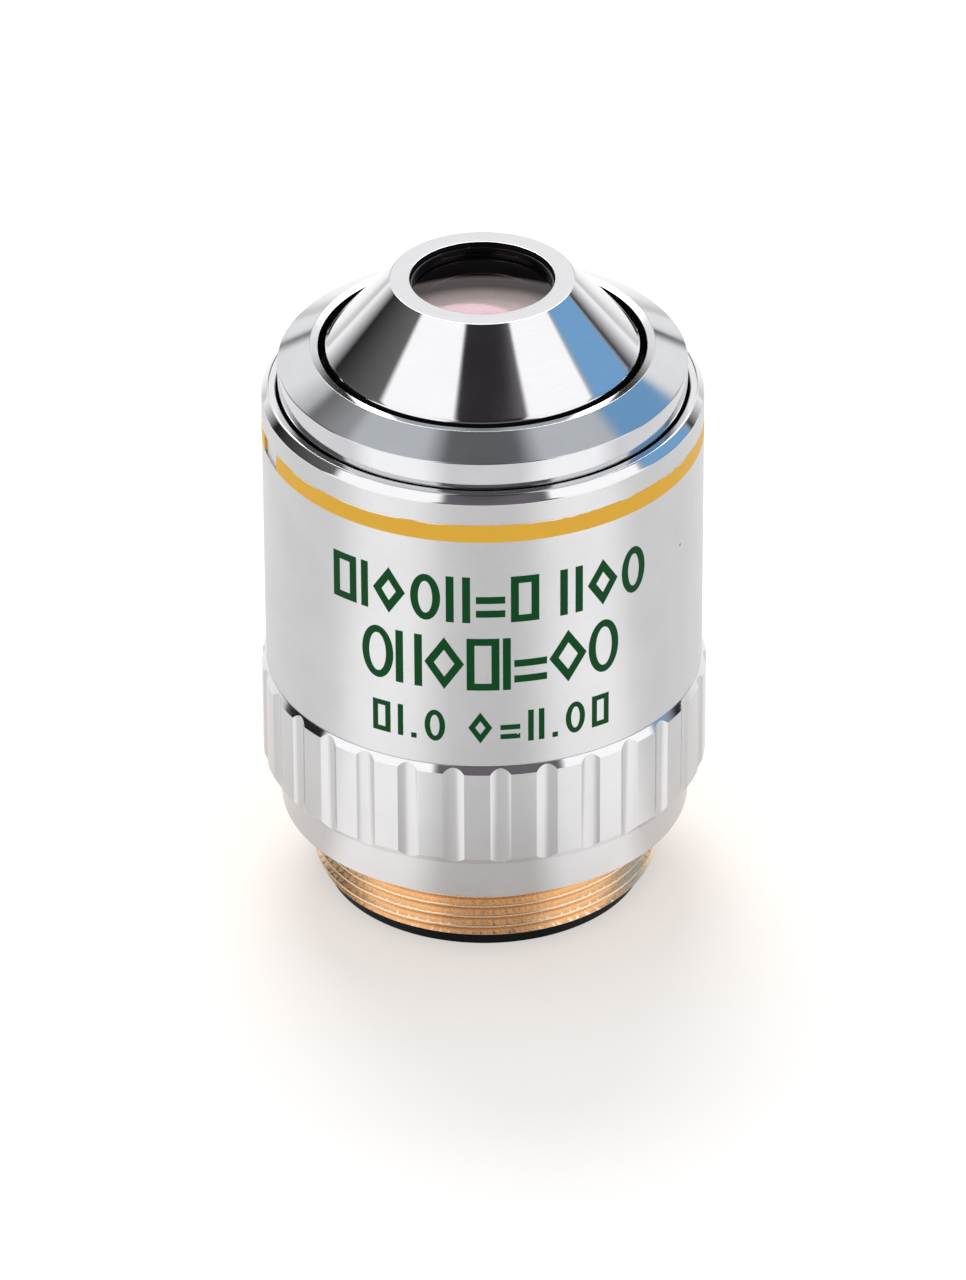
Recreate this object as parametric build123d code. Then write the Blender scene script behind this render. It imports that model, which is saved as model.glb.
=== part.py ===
import os
from math import copysign, degrees, radians, sqrt

from build123d import *

# Infinity-corrected low-power microscope objective, standing on its rear face with the nose up.
# Lengths are millimetres and angles degrees. Heights are measured up the optical axis from the rear face.

# Heights of the outside, from the rear face to the nose
rear_ring_height = 0.96
thread_length = 4.08
skirt_height = 2.78
grip_height = 6.78
sleeve_height = 18.11
collar_rise = 2.70
nose_step = 0.11
nose_height = 4.22

# Mount thread
thread_diameter = 20.32
thread_pitch = 0.7056
thread_depth = 0.45
thread_chamfer = 0.16

# Outside of the body, set out from the sleeve's radius
sleeve_radius = 12.85
sleeve_chamfer_height = 0.47
sleeve_chamfer_width = 0.41
skirt_inset = 0.78
grip_stand = 0.25
grip_bottom_chamfer_height = 0.48
grip_bottom_chamfer_width = 0.30
grip_top_chamfer_height = 0.47
collar_inset = 0.97
collar_chamfer_height = 1.04
collar_chamfer_width = 1.89
collar_lip_width = 0.47
nose_opening_radius = 4.19
nose_rim_width = 1.145
nose_edge_round = 0.10

# Grip flutes, milled straight through from end to end
flute_count = 30
flute_depth = 0.19
flute_cutter_radius = 1.17
flute_start_angle = -85.95

# Clearances
fit_gap = 0.03
cement_gap = 0.02
lock_gap = 0.10
sleeve_front_gap = 0.12
nose_gap = 0.41
centring_play = 0.50
overrun = 1.0

# Rear bore and stop ring, set in from the thread
rear_ring_inset = 0.67
thread_wall = 1.76
rear_bore_depth = 3.2
rear_spigot_length = 2.9
rear_spigot_wall = 2.37
bore_flare = 0.6

# Barrel
flange_height = 1.60
barrel_wall = 1.60
barrel_lip_height = 1.04
barrel_lip_width = 1.90
collar_recess_depth = 2.01

# Lower body, grip, sleeve and collar insides
body_wall = 0.82
body_upper_wall = 0.90
body_web_height = 1.60
body_step_drop = 0.17
body_step_rise = 1.20
sleeve_wall = 0.85
sleeve_web_height = 2.0
collar_wall = 1.45
collar_seat_depth = 3.71

# Colour band: enamel in a shallow groove, with a short gap where its ends meet
band_drop = 1.81
band_height = 1.14
band_depth = 0.12
band_gap_angle = 11.0
band_start_angle = -158.0

# Filled marks on the sleeve: three rows of plain shapes, by their drop from the sleeve's front edge
mark_depth = 0.08
mark_centre_angle = -88.0
upper_row_drop = 5.29
upper_row_height = 3.06
upper_row_stroke = 0.46
upper_row_angle = 88.0
middle_row_drop = 9.41
middle_row_height = 3.50
middle_row_stroke = 0.46
middle_row_angle = 70.0
lower_row_drop = 14.41
lower_row_height = 2.10
lower_row_stroke = 0.33
lower_row_angle = 64.0
upper_row_kinds = "box bar diamond ring pair rail box space pair diamond ring"
middle_row_kinds = "ring pair diamond box bar rail diamond ring"
lower_row_kinds = "box bar dot ring space diamond rail pair dot ring box"
mark_width_shares = {
    "bar": 0.16,
    "dot": 0.18,
    "space": 0.20,
    "rail": 0.55,
    "box": 0.54,
    "ring": 0.58,
    "pair": 0.46,
    "diamond": 0.66,
}
lower_rail_share = 0.3

# Phase plate and its centring
phase_cell_wall = 1.57
phase_ledge_height = 0.8
phase_ledge_width = 1.0
phase_plate_height = 1.2
phase_ring_height = 1.0
centring_screw_count = 3
centring_screw_radius = 0.70
centring_screw_rise = 2.40
centring_screw_sink = 0.10
driver_slot_width = 0.25
driver_slot_depth = 0.40

# Parts that the cells in the barrel share
cell_wall = 1.54
cell_ledge_height = 0.9
cell_ledge_width = 0.75
cell_rim_height = 0.10
cell_ring_height = 0.9
cell_ring_wall = 0.85
spacer_wall = 0.77
spanner_slot_width = 0.9
spanner_slot_depth = 0.45

# Rear lens, a thick meniscus
rear_spacer_height = 4.0
rear_lens_height = 2.6
rear_lens_rim_width = 0.90
rear_lens_rear_bulge = -0.9
rear_lens_front_bulge = 1.3

# Middle cemented doublet
middle_crown_height = 1.9
middle_flint_height = 1.7
middle_lens_rim_width = 0.70
middle_crown_rear_bulge = 0.6
middle_cement_bulge = 0.9
middle_flint_front_bulge = 0.5

# Lock ring that closes the stack in the barrel
stack_ring_height = 1.2
stack_ring_wall = 1.2

# Front doublet cell inside the nose
nose_spigot_length = 4.0
nose_spigot_wall = 2.27
front_bore_spare = 0.20
front_cell_wall = 0.99
front_crown_height = 1.5
front_flint_height = 1.2
front_doublet_rim_width = 0.55
front_crown_rear_bulge = 0.5
front_cement_bulge = 0.7
front_flint_front_bulge = 0.3
front_ring_height = 0.8

# Front lens and the black ring that holds it
nose_passage_relief = 0.81
lens_seat_depth = 2.50
lens_lip_height = 0.6
lens_lip_width = 0.60
front_lens_height = 1.90
front_lens_rim_width = 0.16
front_lens_rear_bulge = -0.35
front_lens_front_bulge = 0.35
front_ring_sink = 0.31
front_ring_wall = 0.14

# Heights of the cells that hold the glass
phase_cell_height = phase_ledge_height + phase_plate_height + phase_ring_height + cell_rim_height
rear_cell_height = cell_ledge_height + rear_lens_height + cell_ring_height + cell_rim_height
middle_glass_height = middle_crown_height + cement_gap + middle_flint_height
middle_cell_height = cell_ledge_height + middle_glass_height + cell_ring_height + cell_rim_height
front_glass_height = front_crown_height + cement_gap + front_flint_height
front_cell_height = cell_ledge_height + front_glass_height + cell_ring_height + cell_rim_height
front_bore_depth = front_ring_height + front_cell_height + front_bore_spare

# Heights of the faces that the pieces share
shoulder_height = rear_ring_height + thread_length
grip_bottom = shoulder_height + skirt_height
grip_top = grip_bottom + grip_height
sleeve_top = grip_top + sleeve_height
collar_top = sleeve_top + collar_rise
nose_base = collar_top + nose_step
nose_top = nose_base + nose_height
rear_bore_top = rear_ring_height + rear_bore_depth
stack_base = rear_bore_top + barrel_lip_height
flange_top = shoulder_height + flange_height
web_top = flange_top + body_web_height
body_step = grip_bottom + body_step_rise
barrel_top = collar_top - collar_recess_depth
collar_seat = sleeve_top - collar_seat_depth
spigot_bottom = barrel_top - nose_spigot_length
front_bore_top = spigot_bottom + front_bore_depth
lens_seat = nose_top - lens_seat_depth

# Heights of the stack in the barrel, from the phase plate to the lock ring
phase_seat = stack_base + phase_ledge_height
rear_spacer_bottom = stack_base + phase_cell_height
rear_cell_bottom = rear_spacer_bottom + rear_spacer_height
stack_ring_top = spigot_bottom - lock_gap
stack_ring_bottom = stack_ring_top - stack_ring_height
middle_cell_bottom = stack_ring_bottom - middle_cell_height
middle_spacer_bottom = rear_cell_bottom + rear_cell_height
front_cell_bottom = front_bore_top - front_cell_height

# Radii of the outside, from the sleeve inwards
grip_radius = sleeve_radius + grip_stand
body_radius = sleeve_radius - skirt_inset
collar_radius = sleeve_radius - collar_inset
sleeve_bore_radius = collar_radius + sleeve_front_gap
nose_clear_radius = collar_radius - collar_chamfer_width - collar_lip_width
nose_base_radius = nose_clear_radius - nose_gap
nose_tip_radius = nose_opening_radius + nose_rim_width
body_upper_radius = body_radius - body_step_drop
flange_bore_radius = body_radius - body_wall
flange_radius = flange_bore_radius - fit_gap

# Radii of the barrel, its stack and its glass, from the collar inwards
barrel_slide_radius = collar_radius - collar_wall
barrel_radius = barrel_slide_radius - fit_gap
stack_bore_radius = barrel_radius - barrel_wall
barrel_lip_radius = stack_bore_radius - barrel_lip_width
stack_radius = stack_bore_radius - fit_gap
cell_seat_radius = stack_radius - cell_wall
stack_glass_radius = cell_seat_radius - fit_gap
rear_lens_clear_radius = stack_glass_radius - rear_lens_rim_width
middle_lens_clear_radius = stack_glass_radius - middle_lens_rim_width
phase_cell_radius = stack_bore_radius - centring_play
phase_seat_radius = phase_cell_radius - phase_cell_wall
phase_plate_radius = phase_seat_radius - fit_gap
front_bore_radius = stack_radius - nose_spigot_wall
front_cell_radius = front_bore_radius - fit_gap
front_seat_radius = front_cell_radius - front_cell_wall
front_doublet_radius = front_seat_radius - fit_gap
front_doublet_clear_radius = front_doublet_radius - front_doublet_rim_width
lens_lip_radius = nose_opening_radius - lens_lip_width
front_lens_radius = nose_opening_radius - fit_gap
front_lens_clear_radius = front_lens_radius - front_lens_rim_width

# Radii of the mount, from the thread inwards
thread_radius = thread_diameter / 2
rear_ring_radius = thread_radius - rear_ring_inset
rear_bore_radius = thread_radius - thread_wall
rear_spigot_radius = rear_bore_radius - fit_gap
light_bore_radius = rear_spigot_radius - rear_spigot_wall


def turned(points):
    # Closed outline of (radius, height) points, turned about the optical axis.
    outline = Polyline(*[(radius, 0, height) for radius, height in points], close=True)
    return revolve(make_face(outline), axis=Axis.Z)


def tube(outer, inner, bottom, top):
    return turned([(inner, bottom), (outer, bottom), (outer, top), (inner, top)])


def spun(shape, angle):
    return Rot(0, 0, angle) * shape


def surface_height(bulge, reach, radius):
    # Height over its rim of a spherical surface that rises by bulge on the axis.
    curve = (reach**2 + bulge**2) / (2 * abs(bulge))
    drop = curve - sqrt(curve**2 - radius**2)
    return bulge - copysign(drop, bulge)


def surface_arc(rim_height, bulge, reach):
    middle = reach / 2
    return ThreePointArc(
        (0, 0, rim_height + bulge),
        (middle, 0, rim_height + surface_height(bulge, reach, middle)),
        (reach, 0, rim_height),
    )


def lens(radius, bottom, top, rear_reach, rear_bulge, front_reach, front_bulge):
    # Glass disc with two spherical faces, each reaching its clear radius, and a flat rim outside that.
    # A positive front bulge rises from the rim, and a positive rear bulge hangs below it.
    rear = surface_arc(bottom, -rear_bulge, rear_reach)
    front = surface_arc(top, front_bulge, front_reach)
    rim_points = [(rear_reach, 0, bottom)]
    if rear_reach < radius:
        rim_points.append((radius, 0, bottom))
    rim_points.append((radius, 0, top))
    if front_reach < radius:
        rim_points.append((front_reach, 0, top))
    rim = Polyline(*rim_points)
    axis_line = Line((0, 0, top + front_bulge), (0, 0, bottom - rear_bulge))
    return revolve(make_face(rear + rim + front + axis_line), axis=Axis.Z)


def lens_cell(outer, height, bottom, seat_radius):
    # Cup with a ledge that carries the glass.
    ledge_radius = seat_radius - cell_ledge_width
    ledge_top = bottom + cell_ledge_height
    top = bottom + height
    return turned([
        (ledge_radius, bottom),
        (outer, bottom),
        (outer, top),
        (seat_radius, top),
        (seat_radius, ledge_top),
        (ledge_radius, ledge_top),
    ])


def spanner_ring(outer, wall, bottom, height):
    # Threaded retaining ring with one spanner slot across each side of its front face.
    top = bottom + height
    slot = Pos(0, 0, top) * Box(2 * (outer + overrun), spanner_slot_width, 2 * spanner_slot_depth)
    return tube(outer, outer - wall, bottom, top) - slot


def around(shape, count, start_angle=0):
    return [spun(shape, start_angle + 360 * index / count) for index in range(count)]


def centring_shape(outer_reach, radius):
    # Plain rod from the phase plate's cell out through the barrel, at the height of the screws.
    inner_reach = phase_cell_radius + fit_gap
    rod = Cylinder(radius, outer_reach - inner_reach, align=(Align.CENTER, Align.CENTER, Align.MIN))
    return Pos(inner_reach, 0, stack_base + centring_screw_rise) * Rot(0, 90, 0) * rod


def rear_stop_ring():
    # Blackened flange under the mount, with a spigot inside it and a flared light bore.
    spigot_top = rear_ring_height + rear_spigot_length
    return turned([
        (light_bore_radius + bore_flare, 0),
        (rear_ring_radius, 0),
        (rear_ring_radius, rear_ring_height),
        (rear_spigot_radius, rear_ring_height),
        (rear_spigot_radius, spigot_top),
        (light_bore_radius, spigot_top),
        (light_bore_radius, bore_flare),
    ])


def threaded_barrel():
    # Brass barrel: mount thread and its run-out groove below the flange, plain tube above it.
    relief_bottom = shoulder_height - thread_pitch
    root_radius = thread_radius - thread_depth
    barrel = turned([
        (rear_bore_radius, rear_ring_height),
        (thread_radius - thread_chamfer, rear_ring_height),
        (thread_radius, rear_ring_height + thread_chamfer),
        (thread_radius, relief_bottom),
        (root_radius, relief_bottom),
        (root_radius, shoulder_height),
        (flange_radius, shoulder_height),
        (flange_radius, flange_top),
        (barrel_radius, flange_top),
        (barrel_radius, barrel_top),
        (stack_bore_radius, barrel_top),
        (stack_bore_radius, stack_base),
        (barrel_lip_radius, stack_base),
        (barrel_lip_radius, rear_bore_top),
        (rear_bore_radius, rear_bore_top),
    ])
    hole = centring_shape(barrel_radius + overrun, centring_screw_radius + fit_gap)
    return barrel - around(hole, centring_screw_count)


def centring_screws():
    # Slotted grub screws, sunk just below the outside of the barrel.
    outer_reach = barrel_radius - centring_screw_sink
    screw = centring_shape(outer_reach, centring_screw_radius)
    slot_box = Box(2 * driver_slot_depth, 2 * (centring_screw_radius + overrun), driver_slot_width)
    screw -= Pos(outer_reach, 0, stack_base + centring_screw_rise) * slot_box
    return Compound(around(screw, centring_screw_count))


def lower_body():
    # Satin skirt round the flange; its web sits on the flange and its upper half carries the grip.
    upper_bore_radius = body_upper_radius - body_upper_wall
    return turned([
        (flange_bore_radius, shoulder_height),
        (body_radius, shoulder_height),
        (body_radius, body_step),
        (body_upper_radius, body_step),
        (body_upper_radius, grip_top),
        (upper_bore_radius, grip_top),
        (upper_bore_radius, web_top),
        (barrel_slide_radius, web_top),
        (barrel_slide_radius, flange_top),
        (flange_bore_radius, flange_top),
    ])


def grip_ring():
    # Chamfered ring with shallow concave flutes, flush with the sleeve at its front edge.
    ring = turned([
        (body_radius + fit_gap, grip_bottom),
        (grip_radius - grip_bottom_chamfer_width, grip_bottom),
        (grip_radius, grip_bottom + grip_bottom_chamfer_height),
        (grip_radius, grip_top - grip_top_chamfer_height),
        (sleeve_radius, grip_top),
        (body_upper_radius + fit_gap, grip_top),
        (body_upper_radius + fit_gap, body_step),
        (body_radius + fit_gap, body_step),
    ])
    cutter_reach = grip_radius - flute_depth + flute_cutter_radius
    cutter = Cylinder(flute_cutter_radius, grip_height + 2 * overrun)
    cutter = Pos(cutter_reach, 0, (grip_bottom + grip_top) / 2) * cutter
    return ring - around(cutter, flute_count, flute_start_angle)


def band_ring(outer):
    # Open ring that fills the groove, from one painted end round to the other.
    top = sleeve_top - band_drop
    bottom = top - band_height
    inner = sleeve_radius - band_depth
    outline = Polyline((inner, 0, bottom), (outer, 0, bottom), (outer, 0, top), (inner, 0, top), close=True)
    band = revolve(make_face(outline), axis=Axis.Z, revolution_arc=360 - band_gap_angle)
    return spun(band, band_start_angle)


def diamond_outline(width, height, stroke):
    corners = [(0, -height / 2), (width / 2, 0), (0, height / 2), (-width / 2, 0)]
    outer = make_face(Polyline(*corners, close=True))
    return outer - offset(outer, -stroke, kind=Kind.INTERSECTION)


def mark_outline(kind, width, height, stroke):
    # One plain shape about its own centre, drawn in lines of one stroke width.
    hollow_width = width - 2 * stroke
    hollow_height = height - 2 * stroke
    if kind == "bar":
        return Rectangle(stroke, height)
    if kind == "dot":
        return Pos(0, (stroke - height) / 2) * Rectangle(stroke, stroke)
    if kind == "rail":
        line = Rectangle(width, stroke)
        return line + Pos(0, -height * lower_rail_share) * line
    if kind == "box":
        return Rectangle(width, height) - Rectangle(hollow_width, hollow_height)
    if kind == "ring":
        return Ellipse(width / 2, height / 2) - Ellipse(hollow_width / 2, hollow_height / 2)
    if kind == "pair":
        return Rectangle(width, height) - Rectangle(hollow_width, height)
    return diamond_outline(width, height, stroke)


def mark_row(kinds, drop, height, stroke, angle):
    # The row's shapes as blocks that reach out from the axis, spread evenly over the row's angle.
    names = kinds.split()
    widths = [mark_width_shares[name] * height for name in names]
    row_length = radians(angle) * sleeve_radius
    gap = (row_length - sum(widths)) / (len(names) - 1)
    centre_height = sleeve_top - drop - height / 2
    place = -row_length / 2
    blocks = []
    for name, width in zip(names, widths):
        turn = mark_centre_angle + degrees((place + width / 2) / sleeve_radius)
        place += width + gap
        if name != "space":
            face = Plane.YZ * mark_outline(name, width, height, stroke)
            block = extrude(face, sleeve_radius + overrun)
            blocks.append(spun(Pos(0, 0, centre_height) * block, turn))
    return blocks


def mark_blocks():
    return (
        mark_row(upper_row_kinds, upper_row_drop, upper_row_height, upper_row_stroke, upper_row_angle)
        + mark_row(middle_row_kinds, middle_row_drop, middle_row_height, middle_row_stroke, middle_row_angle)
        + mark_row(lower_row_kinds, lower_row_drop, lower_row_height, lower_row_stroke, lower_row_angle)
    )


def mark_fillings(outer):
    # The blocks cut down to a thin skin from the pocket floor out to the given radius.
    skin = tube(outer, sleeve_radius - mark_depth, grip_top, sleeve_top)
    return [solid for block in mark_blocks() for solid in (skin & block).solids()]


def sleeve_marks():
    return Compound(mark_fillings(sleeve_radius))


def colour_band():
    return band_ring(sleeve_radius)


def outer_sleeve():
    # Satin tube with an inner web that the front collar clamps, a band groove and the mark pockets.
    web_bottom = collar_seat - sleeve_web_height
    lower_bore_radius = sleeve_radius - sleeve_wall
    sleeve = turned([
        (lower_bore_radius, grip_top),
        (sleeve_radius, grip_top),
        (sleeve_radius, sleeve_top - sleeve_chamfer_height),
        (sleeve_radius - sleeve_chamfer_width, sleeve_top),
        (sleeve_bore_radius, sleeve_top),
        (sleeve_bore_radius, collar_seat),
        (barrel_slide_radius, collar_seat),
        (barrel_slide_radius, web_bottom),
        (lower_bore_radius, web_bottom),
    ])
    sleeve -= band_ring(sleeve_radius + overrun)
    return sleeve - mark_fillings(sleeve_radius + overrun)


def front_collar():
    # Chamfered clamping ring, screwed on the barrel and bearing on the sleeve's web.
    chamfer_bottom = collar_top - collar_chamfer_height
    barrel_clear_height = barrel_top + fit_gap
    return turned([
        (barrel_slide_radius, collar_seat),
        (collar_radius, collar_seat),
        (collar_radius, chamfer_bottom),
        (collar_radius - collar_chamfer_width, collar_top),
        (nose_clear_radius, collar_top),
        (nose_clear_radius, barrel_clear_height),
        (barrel_slide_radius, barrel_clear_height),
    ])


def nose_cone():
    # Polished front cell: threaded spigot, skirt on the barrel's end, cone, and stepped bore inside.
    lip_bottom = lens_seat - lens_lip_height
    passage_radius = nose_opening_radius + nose_passage_relief
    return turned([
        (front_bore_radius, spigot_bottom),
        (stack_radius, spigot_bottom),
        (stack_radius, barrel_top),
        (nose_base_radius, barrel_top),
        (nose_base_radius, nose_base - nose_edge_round),
        (nose_base_radius - nose_edge_round, nose_base),
        (nose_tip_radius, nose_top),
        (nose_opening_radius, nose_top),
        (nose_opening_radius, lens_seat),
        (lens_lip_radius, lens_seat),
        (lens_lip_radius, lip_bottom),
        (passage_radius, lip_bottom),
        (passage_radius, front_bore_top),
        (front_bore_radius, front_bore_top),
    ])


def front_lens():
    return lens(
        front_lens_radius,
        lens_seat,
        lens_seat + front_lens_height,
        lens_lip_radius,
        front_lens_rear_bulge,
        front_lens_clear_radius,
        front_lens_front_bulge,
    )


def front_lens_ring():
    # Thin black ring on the lens rim, sunk a little below the nose's flat rim.
    top = nose_top - front_ring_sink
    return tube(front_lens_radius, front_lens_radius - front_ring_wall, lens_seat + front_lens_height, top)


def front_doublet_cell():
    return lens_cell(front_cell_radius, front_cell_height, front_cell_bottom, front_seat_radius)


def front_doublet_crown():
    bottom = front_cell_bottom + cell_ledge_height
    return lens(
        front_doublet_radius,
        bottom,
        bottom + front_crown_height,
        front_seat_radius - cell_ledge_width,
        front_crown_rear_bulge,
        front_doublet_radius,
        front_cement_bulge,
    )


def front_doublet_flint():
    bottom = front_cell_bottom + cell_ledge_height + front_crown_height + cement_gap
    return lens(
        front_doublet_radius,
        bottom,
        bottom + front_flint_height,
        front_doublet_radius,
        -front_cement_bulge,
        front_doublet_clear_radius,
        front_flint_front_bulge,
    )


def front_doublet_ring():
    bottom = front_cell_bottom + cell_ledge_height + front_glass_height
    return spanner_ring(front_doublet_radius, front_doublet_rim_width, bottom, cell_ring_height)


def front_cell_lock_ring():
    # Ring below the front cell, screwed up against it from the rear of the nose.
    ring = spanner_ring(front_cell_radius, cell_ring_wall, -front_cell_bottom, front_ring_height)
    return mirror(ring, about=Plane.XY)


def middle_doublet_cell():
    return lens_cell(stack_radius, middle_cell_height, middle_cell_bottom, cell_seat_radius)


def middle_doublet_crown():
    bottom = middle_cell_bottom + cell_ledge_height
    return lens(
        stack_glass_radius,
        bottom,
        bottom + middle_crown_height,
        cell_seat_radius - cell_ledge_width,
        middle_crown_rear_bulge,
        stack_glass_radius,
        middle_cement_bulge,
    )


def middle_doublet_flint():
    bottom = middle_cell_bottom + cell_ledge_height + middle_crown_height + cement_gap
    return lens(
        stack_glass_radius,
        bottom,
        bottom + middle_flint_height,
        stack_glass_radius,
        -middle_cement_bulge,
        middle_lens_clear_radius,
        middle_flint_front_bulge,
    )


def middle_doublet_ring():
    bottom = middle_cell_bottom + cell_ledge_height + middle_glass_height
    return spanner_ring(stack_glass_radius, middle_lens_rim_width, bottom, cell_ring_height)


def middle_spacer():
    return tube(stack_radius, stack_radius - spacer_wall, middle_spacer_bottom, middle_cell_bottom)


def rear_lens_cell():
    return lens_cell(stack_radius, rear_cell_height, rear_cell_bottom, cell_seat_radius)


def rear_lens():
    bottom = rear_cell_bottom + cell_ledge_height
    return lens(
        stack_glass_radius,
        bottom,
        bottom + rear_lens_height,
        cell_seat_radius - cell_ledge_width,
        rear_lens_rear_bulge,
        rear_lens_clear_radius,
        rear_lens_front_bulge,
    )


def rear_lens_ring():
    bottom = rear_cell_bottom + cell_ledge_height + rear_lens_height
    return spanner_ring(stack_glass_radius, rear_lens_rim_width, bottom, cell_ring_height)


def rear_spacer():
    return tube(stack_radius, stack_radius - spacer_wall, rear_spacer_bottom, rear_cell_bottom)


def phase_plate_cell():
    # Cup that stands on the barrel's lip with play all round, for centring.
    ledge_radius = phase_seat_radius - phase_ledge_width
    return turned([
        (ledge_radius, stack_base),
        (phase_cell_radius, stack_base),
        (phase_cell_radius, rear_spacer_bottom),
        (phase_seat_radius, rear_spacer_bottom),
        (phase_seat_radius, phase_seat),
        (ledge_radius, phase_seat),
    ])


def phase_plate():
    return Pos(0, 0, phase_seat + phase_plate_height / 2) * Cylinder(phase_plate_radius, phase_plate_height)


def phase_plate_ring():
    bottom = phase_seat + phase_plate_height
    return spanner_ring(phase_plate_radius, cell_ring_wall, bottom, phase_ring_height)


def stack_lock_ring():
    return spanner_ring(stack_radius, stack_ring_wall, stack_ring_bottom, stack_ring_height)


pieces = [
    rear_stop_ring,
    threaded_barrel,
    centring_screws,
    lower_body,
    grip_ring,
    outer_sleeve,
    colour_band,
    sleeve_marks,
    front_collar,
    nose_cone,
    front_lens,
    front_lens_ring,
    front_doublet_cell,
    front_doublet_crown,
    front_doublet_flint,
    front_doublet_ring,
    front_cell_lock_ring,
    middle_doublet_cell,
    middle_doublet_crown,
    middle_doublet_flint,
    middle_doublet_ring,
    middle_spacer,
    rear_lens_cell,
    rear_lens,
    rear_lens_ring,
    rear_spacer,
    phase_plate_cell,
    phase_plate,
    phase_plate_ring,
    stack_lock_ring,
]

os.makedirs("parts", exist_ok=True)
for piece in pieces:
    export_step(piece(), f"parts/{piece.__name__}.step")
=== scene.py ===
import math

import bpy
from mathutils import Matrix, Vector


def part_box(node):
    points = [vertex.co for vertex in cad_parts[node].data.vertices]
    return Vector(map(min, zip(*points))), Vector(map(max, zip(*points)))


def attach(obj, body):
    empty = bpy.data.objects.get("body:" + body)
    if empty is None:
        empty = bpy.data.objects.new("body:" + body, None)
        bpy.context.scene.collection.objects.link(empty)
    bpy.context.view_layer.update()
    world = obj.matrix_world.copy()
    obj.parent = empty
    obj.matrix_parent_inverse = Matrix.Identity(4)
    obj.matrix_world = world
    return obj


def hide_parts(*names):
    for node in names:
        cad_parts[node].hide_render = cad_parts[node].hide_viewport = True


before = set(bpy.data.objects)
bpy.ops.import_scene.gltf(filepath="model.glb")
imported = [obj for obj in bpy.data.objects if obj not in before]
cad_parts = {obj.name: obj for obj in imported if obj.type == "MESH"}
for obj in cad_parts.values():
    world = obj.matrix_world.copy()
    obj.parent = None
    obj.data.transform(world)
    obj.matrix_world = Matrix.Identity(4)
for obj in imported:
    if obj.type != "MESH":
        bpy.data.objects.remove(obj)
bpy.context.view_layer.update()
mm = 0.001
samePoint = 1e-7  # points nearer than this, in metres, are one
latheSteps = 256
fineLatheSteps = 360  # for the wide pieces, whose outline shows most
cornerSteps = 3
smallCornerSteps = 2
softAngle = 32  # edges flatter than this are shaded smooth
enlargement = 1000  # for a tool that leaves faces as small as these alone


# working steps that several pieces share

def nothingSelected():
    if bpy.context.object and bpy.context.object.mode != "OBJECT":
        bpy.ops.object.mode_set(mode="OBJECT")
    bpy.ops.object.select_all(action="DESELECT")


def makeActive(piece):
    nothingSelected()
    piece.select_set(True)
    bpy.context.view_layer.objects.active = piece


def editMode(piece):
    makeActive(piece)
    bpy.ops.object.mode_set(mode="EDIT")
    bpy.ops.mesh.select_mode(type="VERT")
    bpy.ops.mesh.select_all(action="DESELECT")


def selectVerts(piece, wanted):
    # picks vertices by their place, from edit mode and back to it
    bpy.ops.object.mode_set(mode="OBJECT")
    for vert in piece.data.vertices:
        vert.select = wanted(vert.co)
    bpy.ops.object.mode_set(mode="EDIT")


def atOneOf(places):
    # a test for selectVerts: whether a vertex lies at one of these places of a section
    return lambda co: any(math.hypot(co.x - r, co.z - z) < samePoint for r, z in places)


def drawProfile(name, points, closed=True, rounding=()):
    # one vertex walks round the section in the XZ plane, drawing an edge at each step
    nothingSelected()
    bpy.ops.mesh.primitive_plane_add(size=mm, location=(0, 0, 0))
    profile = bpy.context.object
    profile.name = name
    bpy.ops.object.mode_set(mode="EDIT")
    bpy.ops.mesh.select_all(action="SELECT")
    bpy.ops.mesh.merge(type="CENTER")
    bpy.ops.transform.translate(value=(points[0][0], 0, points[0][1]))
    for before, after in zip(points, points[1:]):
        step = (after[0] - before[0], 0, after[1] - before[1])
        bpy.ops.mesh.extrude_region_move(TRANSFORM_OT_translate={"value": step})
    if closed:
        selectVerts(profile, atOneOf((points[0], points[-1])))
        bpy.ops.mesh.edge_face_add()
    for corners, width, steps in rounding:
        selectVerts(profile, atOneOf(corners))
        bpy.ops.mesh.bevel(offset=width, segments=steps, affect="VERTICES")
    bpy.ops.object.mode_set(mode="OBJECT")
    return profile


def finishSmooth(piece, angle=softAngle):
    makeActive(piece)
    bpy.ops.object.shade_smooth_by_angle(angle=math.radians(angle))


def resizeMesh(piece, factor):
    makeActive(piece)
    piece.scale = (factor, factor, factor)
    bpy.ops.object.transform_apply(location=False, rotation=False, scale=True)


def keepFlats(piece):
    # large faces keep their own direction, so that only the rounded corners bend a reflection
    resizeMesh(piece, enlargement)
    useModifier(piece, "WEIGHTED_NORMAL", mode="FACE_AREA", weight=50, thresh=0.0, keep_sharp=True)
    resizeMesh(piece, 1 / enlargement)


def signedVolume(piece):
    # below zero where the faces of a closed mesh point inwards
    piece.data.calc_loop_triangles()
    total = 0.0
    for triangle in piece.data.loop_triangles:
        first, second, third = (piece.data.vertices[index].co for index in triangle.vertices)
        total += first.dot(second.cross(third)) / 6
    return total


def cleanMesh(piece, near=samePoint):
    editMode(piece)
    bpy.ops.mesh.select_all(action="SELECT")
    bpy.ops.mesh.remove_doubles(threshold=near)
    bpy.ops.mesh.normals_make_consistent(inside=False)
    bpy.ops.object.mode_set(mode="OBJECT")
    if signedVolume(piece) < 0:
        bpy.ops.object.mode_set(mode="EDIT")
        bpy.ops.mesh.select_all(action="SELECT")
        bpy.ops.mesh.flip_normals()
        bpy.ops.object.mode_set(mode="OBJECT")


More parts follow.
